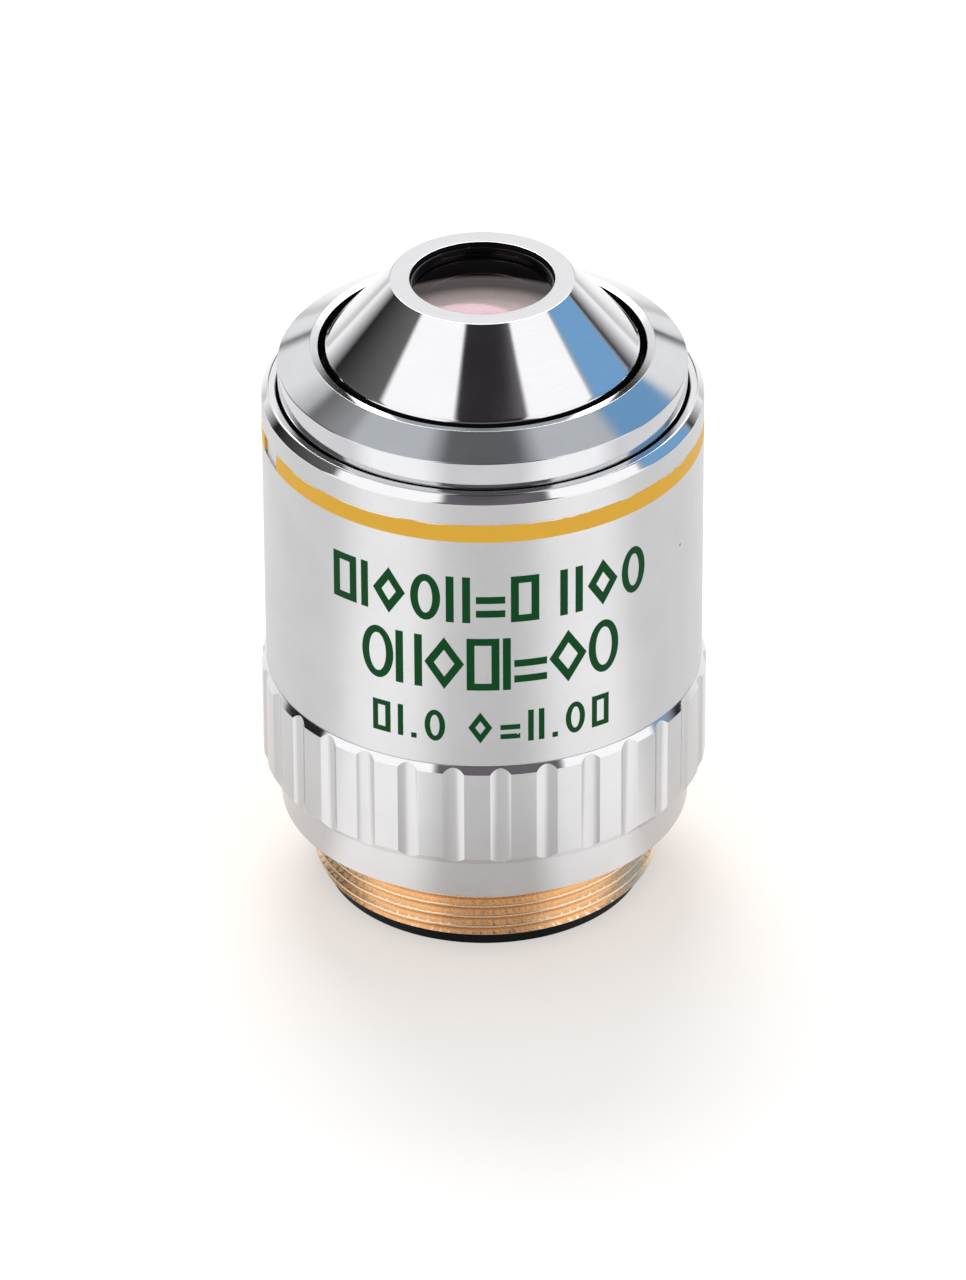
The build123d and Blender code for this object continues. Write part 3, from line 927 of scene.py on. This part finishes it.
sleeve = {
    "wallRadius": 12.0 * mm,
    "webRadius": lowerBody["tubeClear"],
    "webLow": 27.0 * mm,
    "seat": 29.0 * mm,
    "chamferHeight": 0.47 * mm,
    "chamferWidth": 0.41 * mm,
    "grooveDepth": 0.12 * mm,
    "skinDrop": 0.012 * mm,  # the surface lies this much under the enamel marks, so that they show
    "rounding": 0.06 * mm,
    "footRounding": 0.03 * mm,
    "innerReach": 0.02 * mm,
    "innerBelow": 0.1 * mm,
    "edgeTilt": 0.12,
    "edgeBelow": 0.05 * mm,
}


def buildSleeve(values):
    outside = sleeveRadius - values["skinDrop"]
    grooveRadius = sleeveRadius - values["grooveDepth"]
    chamferLow = (outside, sleeveHigh - values["chamferHeight"])
    chamferHigh = (sleeveRadius - values["chamferWidth"], sleeveHigh)
    rim = (values["wallRadius"], sleeveHigh)
    foot = (outside, sleeveLow)
    piece = turned("outerSleeve", [
        (values["wallRadius"], sleeveLow),
        foot,
        (outside, bandLow),
        (grooveRadius, bandLow),
        (grooveRadius, bandHigh),
        (outside, bandHigh),
        chamferLow,
        chamferHigh,
        rim,
        (values["wallRadius"], values["seat"]),
        (values["webRadius"], values["seat"]),
        (values["webRadius"], values["webLow"]),
        (values["wallRadius"], values["webLow"]),
    ], rounding=[
        ([chamferLow, chamferHigh, rim], values["rounding"], cornerSteps),
        ([foot], values["footRounding"], smallCornerSteps),
    ], steps=fineLatheSteps)
    dress(piece, satinChrome, blackInside, noseChrome)
    innerRadius = values["wallRadius"] + values["innerReach"]
    innerTop = sleeveHigh - values["innerBelow"]
    edgeLow = sleeveHigh - values["chamferHeight"] - values["edgeBelow"]
    paintFaces(piece, 1, lambda centre, normal: radiusOf(centre) < innerRadius and centre.z < innerTop)
    paintFaces(piece, 2, lambda centre, normal: abs(normal.z) > values["edgeTilt"] and centre.z > edgeLow)
    standsFor(piece, "outer_sleeve")
    print("outer sleeve built")


buildSleeve(sleeve)


# front collar: wide turned chamfer inside the sleeve's edge

collar = {
    "tubeClear": lowerBody["tubeClear"],
    "chamferHeight": 1.04 * mm,
    "chamferWidth": 1.89 * mm,
    "lipRadius": 9.52 * mm,
    "tubeTop": 33.43 * mm,
    "lipFall": 0.05 * mm,
    "rounding": 0.05 * mm,
    "fineRounding": 0.012 * mm,
    "fineSteps": 1,
    "innerReach": 0.01 * mm,
    "innerBelow": 0.08 * mm,
}


def buildCollar(values):
    chamferLow = (collarRadius, collarHigh - values["chamferHeight"])
    chamferHigh = (collarRadius - values["chamferWidth"], collarHigh)
    lip = (values["lipRadius"], collarHigh - values["lipFall"])
    piece = turned("frontCollar", [
        (values["tubeClear"], collarLow),
        (collarRadius, collarLow),
        chamferLow,
        chamferHigh,
        lip,
        (values["lipRadius"], values["tubeTop"]),
        (values["tubeClear"], values["tubeTop"]),
    ], rounding=[
        ([chamferLow], values["rounding"], cornerSteps),
        ([chamferHigh, lip], values["fineRounding"], values["fineSteps"]),
    ], steps=fineLatheSteps)
    dress(piece, collarChrome, blackInside)
    innerRadius = values["lipRadius"] + values["innerReach"]
    innerTop = collarHigh - values["lipFall"] - values["innerBelow"]
    paintFaces(piece, 1, lambda centre, normal: radiusOf(centre) < innerRadius and centre.z < innerTop)
    standsFor(piece, "front_collar")
    print("front collar built")


buildCollar(collar)


# nose cone: polished, with a flat rim and a black bore

nose = {
    "spigotRadius": 8.77 * mm,
    "spigotBore": 6.50 * mm,
    "skirtLow": 33.40 * mm,
    "coneLow": 35.52 * mm,
    "coneRound": 0.10 * mm,
    "tipRadius": 5.335 * mm,
    "openRadius": 4.19 * mm,
    "lensSeat": 37.24 * mm,
    "lensLipRadius": 3.59 * mm,
    "lensLipLow": 36.64 * mm,
    "passageRadius": 5.0 * mm,
    "boreTop": 35.02 * mm,
    "rounding": 0.05 * mm,
    "fineRounding": 0.025 * mm,
    "blackBelow": 0.3 * mm,
    "innerReach": 0.1 * mm,
}


def buildNose(values):
    foot = (noseRadius, values["coneLow"] - values["coneRound"])
    shoulder = (noseRadius - values["coneRound"], values["coneLow"])
    tip = (values["tipRadius"], noseHigh)
    mouth = (values["openRadius"], noseHigh)
    piece = turned("noseCone", [
        (values["spigotBore"], noseLow),
        (values["spigotRadius"], noseLow),
        (values["spigotRadius"], values["skirtLow"]),
        (noseRadius, values["skirtLow"]),
        foot,
        shoulder,
        tip,
        mouth,
        (values["openRadius"], values["lensSeat"]),
        (values["lensLipRadius"], values["lensSeat"]),
        (values["lensLipRadius"], values["lensLipLow"]),
        (values["passageRadius"], values["lensLipLow"]),
        (values["passageRadius"], values["boreTop"]),
        (values["spigotBore"], values["boreTop"]),
    ], rounding=[
        ([foot, shoulder], values["rounding"], cornerSteps),
        ([tip, mouth], values["fineRounding"], smallCornerSteps),
    ], steps=fineLatheSteps)
    dress(piece, noseChrome, blackInside)
    hiddenTop = values["coneLow"] - values["blackBelow"]
    innerRadius = values["passageRadius"] + values["innerReach"]
    paintFaces(piece, 1, lambda centre, normal: centre.z < hiddenTop
               or (radiusOf(centre) < innerRadius and centre.z < lensRingHigh))
    standsFor(piece, "nose_cone")
    print("nose cone built")


buildNose(nose)


# front lens and the thin black ring that holds it

lens = {
    "radius": 4.16 * mm,
    "rimHigh": 39.14 * mm,
    "clearRadius": 4.00 * mm,
    "frontBulge": 0.35 * mm,
    "rearReach": 3.59 * mm,
    "rearHollow": 0.35 * mm,
    "arcSteps": 14,
    "latheSteps": 160,
    "smoothAngle": 40,
}


def lensArc(rimHeight, bulge, reachOut, steps):
    # points of a spherical face from its rim in to the axis
    curve = (reachOut ** 2 + bulge ** 2) / (2 * abs(bulge))
    points = []
    for index in range(steps + 1):
        r = reachOut * (1 - index / steps)
        drop = curve - math.sqrt(curve ** 2 - r ** 2)
        points.append((r, rimHeight + bulge - math.copysign(drop, bulge)))
    return points


def buildLens(values):
    front = lensArc(values["rimHigh"], values["frontBulge"], values["clearRadius"], values["arcSteps"])
    rear = lensArc(lensLow, values["rearHollow"], values["rearReach"], values["arcSteps"])
    rimPoints = [(values["radius"], lensLow), (values["radius"], values["rimHigh"])]
    piece = turned("frontLens", list(reversed(rear)) + rimPoints + front, closed=False,
                   steps=values["latheSteps"], smooth=values["smoothAngle"])
    dress(piece, frontGlass)
    standsFor(piece, "front_lens")


buildLens(lens)

lensRing = {
    "radius": lens["radius"],
    "boreRadius": 4.02 * mm,
    "rounding": 0.03 * mm,
}


def buildLensRing(values):
    edges = [(values["radius"], lensRingHigh), (values["boreRadius"], lensRingHigh)]
    piece = turned("frontLensRing", [
        (values["boreRadius"], lensRingLow),
        (values["radius"], lensRingLow),
        edges[0],
        edges[1],
    ], rounding=[(edges, values["rounding"], smallCornerSteps)])
    dress(piece, blackRing)
    standsFor(piece, "front_lens_ring")
    print("front lens and ring built")


buildLensRing(lensRing)


# finishes of the solids that stay

solidFinishes = {
    "colour_band": yellowEnamel,
    "sleeve_marks": greenEnamel,
    "centring_screws": screwSteel,
    "front_doublet_crown": innerGlass,
    "front_doublet_flint": innerGlass,
    "middle_doublet_crown": innerGlass,
    "middle_doublet_flint": innerGlass,
    "rear_lens": innerGlass,
    "phase_plate": innerGlass,
}


def dressSolids(finishes):
    for name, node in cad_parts.items():
        if node.hide_render:
            continue
        finish = finishes.get(name, blackInside)
        if not node.material_slots:
            node.data.materials.append(finish)
        for slot in node.material_slots:
            slot.link = "OBJECT"
            slot.material = finish


dressSolids(solidFinishes)
print("solids dressed")


# floor, light and camera

floorValues = {
    "size": 4.0,
    "colour": (0.455, 0.452, 0.448),
    "patchColour": (0.465, 0.461, 0.457),
    "paintedBrassLight": (0.450, 0.404, 0.370),  # painted light: a warmer, slightly darker tint beside the object, standing in for the light the brass throws on the floor
    "brassLightFrom": 13 * mm,
    "brassLightTo": 34 * mm,
    "seen": 0.48,  # light the floor shows of its own, so that it reads as white
    "mattSees": 0.52,
    "metalSees": 0.34,
    "poolLight": 0.46,  # brighter pools left and right of the object, which its satin walls pick up
    "leftPool": (-66, -24),
    "rightPool": (26, 68),
    "poolSoft": 7.0,
}


def softStep(tree, source, middle, soft):
    # 0 below the angle and 1 above it
    return remap(tree, source, 0.0, 1.0, middle - soft, middle + soft)


def angleBand(tree, source, low, high, soft):
    # 1 between the two angles, falling off softly outside them
    rise = softStep(tree, source, low, soft)
    fall = remap(tree, source, 1.0, 0.0, high - soft, high + soft)
    return addMath(tree, "MULTIPLY", (rise, 0), (fall, 0))


def angleRound(tree, split):
    # degrees round the optical axis: 0 at the marks, positive towards +X
    backwards = addMath(tree, "MULTIPLY", (split, "Y"), -1.0)
    turn = addMath(tree, "ARCTAN2", (split, "X"), (backwards, 0))
    return addMath(tree, "MULTIPLY", (turn, 0), 180 / math.pi)


def buildFloor(values):
    nothingSelected()
    bpy.ops.mesh.primitive_plane_add(size=values["size"], location=(0, 0, 0))
    floor = bpy.context.object
    floor.name = "paleFloor"
    material, tree, shader, place = newMaterial("paleFloor")
    grain = useGroup(tree, surfaceGrain, place, Fine_size=900.0, Patch_size=20.0)
    shade = blendColours(tree, (grain, "Patches"), values["colour"], values["patchColour"])
    # painted light: near the object the floor's colour takes a warm tint, standing in for light thrown down
    # by the brass
    outwards = useGroup(tree, turnedLines, place)
    away = remap(tree, (outwards, "Radius"), 0.0, 1.0, values["brassLightFrom"], values["brassLightTo"])
    brassLitFloor = blendColours(tree, (away, 0), values["paintedBrassLight"], (shade, 2))
    wire(tree, brassLitFloor, 2, shader, "Base Color")
    shader.inputs["Roughness"].default_value = 1.0
    shader.inputs["Specular IOR Level"].default_value = 0.0
    split = addNode(tree, "ShaderNodeSeparateXYZ")
    wire(tree, place, "Object", split, 0)
    degrees = angleRound(tree, split)
    leftPool = angleBand(tree, (degrees, 0), *values["leftPool"], values["poolSoft"])
    rightPool = angleBand(tree, (degrees, 0), *values["rightPool"], values["poolSoft"])
    pools = addMath(tree, "ADD", (leftPool, 0), (rightPool, 0))
    poolLight = addMath(tree, "MULTIPLY", (pools, 0), values["poolLight"])
    metalLight = addMath(tree, "ADD", (poolLight, 0), values["metalSees"])
    path = addNode(tree, "ShaderNodeLightPath")
    metalOrGlass = addMath(tree, "MAXIMUM", (path, "Is Glossy Ray"), (path, "Is Transmission Ray"))
    toMetal = addMath(tree, "MULTIPLY", (metalOrGlass, 0), (metalLight, 0))
    toCamera = addMath(tree, "MULTIPLY", (path, "Is Camera Ray"), values["seen"])
    toMatt = addMath(tree, "MULTIPLY", (path, "Is Diffuse Ray"), values["mattSees"])
    ownLight = addMath(tree, "ADD", (toMetal, 0), (toCamera, 0))
    strength = addMath(tree, "ADD", (ownLight, 0), (toMatt, 0))
    shader.inputs["Emission Color"].default_value = (*white, 1.0)
    wire(tree, strength, 0, shader, "Emission Strength")
    floor.data.materials.append(material)


buildFloor(floorValues)


skyValues = {
    "soft": 0.95,  # even light on matt surfaces
    "softTint": (1.0, 0.995, 0.985),
    "box": 1.32,
    "gapLow": 0.17,
    "gapHigh": 0.03,
    "gapHeights": (49.0, 50.4),
    "gapTint": (1.0, 0.92, 1.0),
    "gapSoft": 2.5,
    "sideLow": 0.02,
    "sideHigh": 0.19,
    "sideHeights": (12, 38),
    "sideTop": 0.24,  # added above the walls
    "sideTopHeights": (40, 52),
    "panel": 1.15,
    "panelTurns": (134, 160),
    "panelHeights": (-20, 40),
    "panelSoft": 8.0,
    "back": 1.10,
    "darkBack": 0.04,  # what the far side of the front lens mirrors
    "darkTurns": (156, 190),
    "darkHeights": (8, 27),
    "darkSoft": 1.0,
    "hot": 8.0,  # the overhead box behind, which the near side of the lens picks up
    "hotFrom": 32.5,
    "hotTo": 44,
    "hotTurns": (153, 190),
    "hotSoft": 4.0,
    "ceiling": 0.74,
    "ceilingFrom": 55,
    "ceilingTint": (0.93, 0.97, 1.0),
    "zenith": 0.17,
    "zenithFrom": 78,
    "leftBox": (-84, -24),
    "rightBox": (38, 90),
    "frontGap": (-24, 38),
    "backFrom": 150,
    "backSoft": 3,  # the same for the zenith
    "boxSoft": 2.0,  # the same for the blue patches
    "edgeSoft": 1.5,
    "blue": (0.22, 0.47, 0.78),
    "bluePatches": [((91, 124), (4, 38)), ((117, 140), (33, 55))],
}


def buildSky(values):
    # metal sees large soft boxes left and right with a dark gap between them, dim walls with two blue
    # patches, and a bright back
    world = bpy.data.worlds.new("studioSky")
    bpy.context.scene.world = world
    world.use_nodes = True
    tree = world.node_tree
    tree.nodes.clear()
    out = addNode(tree, "ShaderNodeOutputWorld")
    path = addNode(tree, "ShaderNodeLightPath")
    place = addNode(tree, "ShaderNodeTexCoord")
    split = addNode(tree, "ShaderNodeSeparateXYZ")
    wire(tree, place, "Generated", split, 0)
    degrees = angleRound(tree, split)
    heightAngle = addMath(tree, "ARCSINE", (split, "Z"))
    height = addMath(tree, "MULTIPLY", (heightAngle, 0), 180 / math.pi)

    def layer(below, mask, value):
        mix = addNode(tree, "ShaderNodeMix", data_type="FLOAT")
        wire(tree, mask, 0, mix, 0)
        for socket, level in ((2, below), (3, value)):
            if isinstance(level, tuple):
                wire(tree, level[0], level[1], mix, socket)
            else:
                mix.inputs[socket].default_value = level
        return (mix, 0)

    leftBox = angleBand(tree, (degrees, 0), *values["leftBox"], values["boxSoft"])
    rightBox = angleBand(tree, (degrees, 0), *values["rightBox"], values["boxSoft"])
    frontGap = angleBand(tree, (degrees, 0), *values["frontGap"], values["gapSoft"])
    ceiling = softStep(tree, (height, 0), values["ceilingFrom"], values["edgeSoft"])
    zenith = softStep(tree, (height, 0), values["zenithFrom"], values["backSoft"])
    behind = addMath(tree, "ABSOLUTE", (degrees, 0))
    backMask = softStep(tree, (behind, 0), values["backFrom"], values["backSoft"])
    wallLevel = remap(tree, (height, 0), values["sideLow"], values["sideHigh"], *values["sideHeights"])
    overWalls = remap(tree, (height, 0), 0.0, values["sideTop"], *values["sideTopHeights"])
    sideLevel = addMath(tree, "ADD", (wallLevel, 0), (overWalls, 0))
    gapLevel = remap(tree, (height, 0), values["gapLow"], values["gapHigh"], *values["gapHeights"])
    panelAcross = angleBand(tree, (behind, 0), *values["panelTurns"], values["panelSoft"])
    panelUp = angleBand(tree, (height, 0), *values["panelHeights"], values["edgeSoft"])
    panel = addMath(tree, "MULTIPLY", (panelAcross, 0), (panelUp, 0))
    hotLevel = remap(tree, (height, 0), values["back"], values["hot"], values["hotFrom"], values["hotTo"])
    hotAcross = angleBand(tree, (behind, 0), *values["hotTurns"], values["hotSoft"])
    darkAcross = angleBand(tree, (behind, 0), *values["darkTurns"], values["edgeSoft"])
    darkUp = angleBand(tree, (height, 0), *values["darkHeights"], values["darkSoft"])
    darkBack = addMath(tree, "MULTIPLY", (darkAcross, 0), (darkUp, 0))
    level = layer((sideLevel, 0), backMask, values["back"])
    level = layer(level, panel, values["panel"])
    level = layer(level, hotAcross, (hotLevel, 0))
    level = layer(level, darkBack, values["darkBack"])
    level = layer(level, leftBox, values["box"])
    level = layer(level, rightBox, values["box"])
    level = layer(level, ceiling, values["ceiling"])
    level = layer(level, frontGap, (gapLevel, 0))
    level = layer(level, zenith, values["zenith"])
    blueMask = None
    for turns, heights in values["bluePatches"]:
        across = angleBand(tree, (degrees, 0), *turns, values["boxSoft"])
        upwards = angleBand(tree, (height, 0), *heights, values["boxSoft"])
        patch = addMath(tree, "MULTIPLY", (across, 0), (upwards, 0))
        blueMask = addMath(tree, "MAXIMUM", (blueMask, 0), (patch, 0)) if blueMask else patch
    level = layer(level, blueMask, 1.0)
    cool = blendColours(tree, (ceiling, 0), white, values["ceilingTint"])
    violet = blendColours(tree, (frontGap, 0), (cool, 2), values["gapTint"])
    tint = blendColours(tree, (blueMask, 0), (violet, 2), values["blue"])

    seen = addNode(tree, "ShaderNodeBackground", Strength=1.0)
    seen.inputs["Color"].default_value = (*white, 1.0)
    soft = addNode(tree, "ShaderNodeBackground", Strength=values["soft"])
    soft.inputs["Color"].default_value = (*values["softTint"], 1.0)
    mirrored = addNode(tree, "ShaderNodeBackground")
    wire(tree, tint, 2, mirrored, "Color")
    wire(tree, level[0], level[1], mirrored, "Strength")
    glossy = addMath(tree, "MAXIMUM", (path, "Is Glossy Ray"), (path, "Is Transmission Ray"))
    firstMix = addNode(tree, "ShaderNodeMixShader")
    wire(tree, glossy, 0, firstMix, 0)
    wire(tree, soft, 0, firstMix, 1)
    wire(tree, mirrored, 0, firstMix, 2)
    secondMix = addNode(tree, "ShaderNodeMixShader")
    wire(tree, path, "Is Camera Ray", secondMix, 0)
    wire(tree, firstMix, 0, secondMix, 1)
    wire(tree, seen, 0, secondMix, 2)
    wire(tree, secondMix, 0, out, "Surface")


buildSky(skyValues)


lampValues = {
    "place": (-0.03, 0.20, 0.30),
    "aim": (0.0, 0.0, 0.01),
    "size": 0.20,
    "power": 0.95,
}


def buildLamp(values):
    nothingSelected()
    bpy.ops.object.light_add(type="AREA", location=values["place"])
    lamp = bpy.context.object
    lamp.name = "softLamp"
    lamp.data.shape = "DISK"
    lamp.data.size = values["size"]
    lamp.data.energy = values["power"]
    lamp.visible_glossy = False
    aim = Vector(values["aim"]) - Vector(values["place"])
    lamp.rotation_euler = aim.to_track_quat("-Z", "Y").to_euler()


buildLamp(lampValues)


cameraValues = {
    "place": (-0.000056, -0.44116, 0.29309),
    "tilt": 57.788,
    "roll": -0.2816,
    "lens": 248.92,
    "sensor": 36.0,
    "near": 0.01,
    "far": 10.0,
}


def buildCamera(values):
    nothingSelected()
    bpy.ops.object.camera_add(location=values["place"])
    camera = bpy.context.object
    camera.name = "photoCamera"
    turn = Matrix.Rotation(math.radians(values["tilt"]), 4, "X")
    roll = Matrix.Rotation(math.radians(values["roll"]), 4, "Z")
    camera.matrix_world = Matrix.Translation(Vector(values["place"])) @ turn @ roll
    camera.data.lens = values["lens"]
    camera.data.sensor_width = values["sensor"]
    camera.data.clip_start = values["near"]
    camera.data.clip_end = values["far"]
    bpy.context.scene.camera = camera


buildCamera(cameraValues)

bpy.context.scene.view_settings.view_transform = "Standard"
print("floor, light and camera placed")
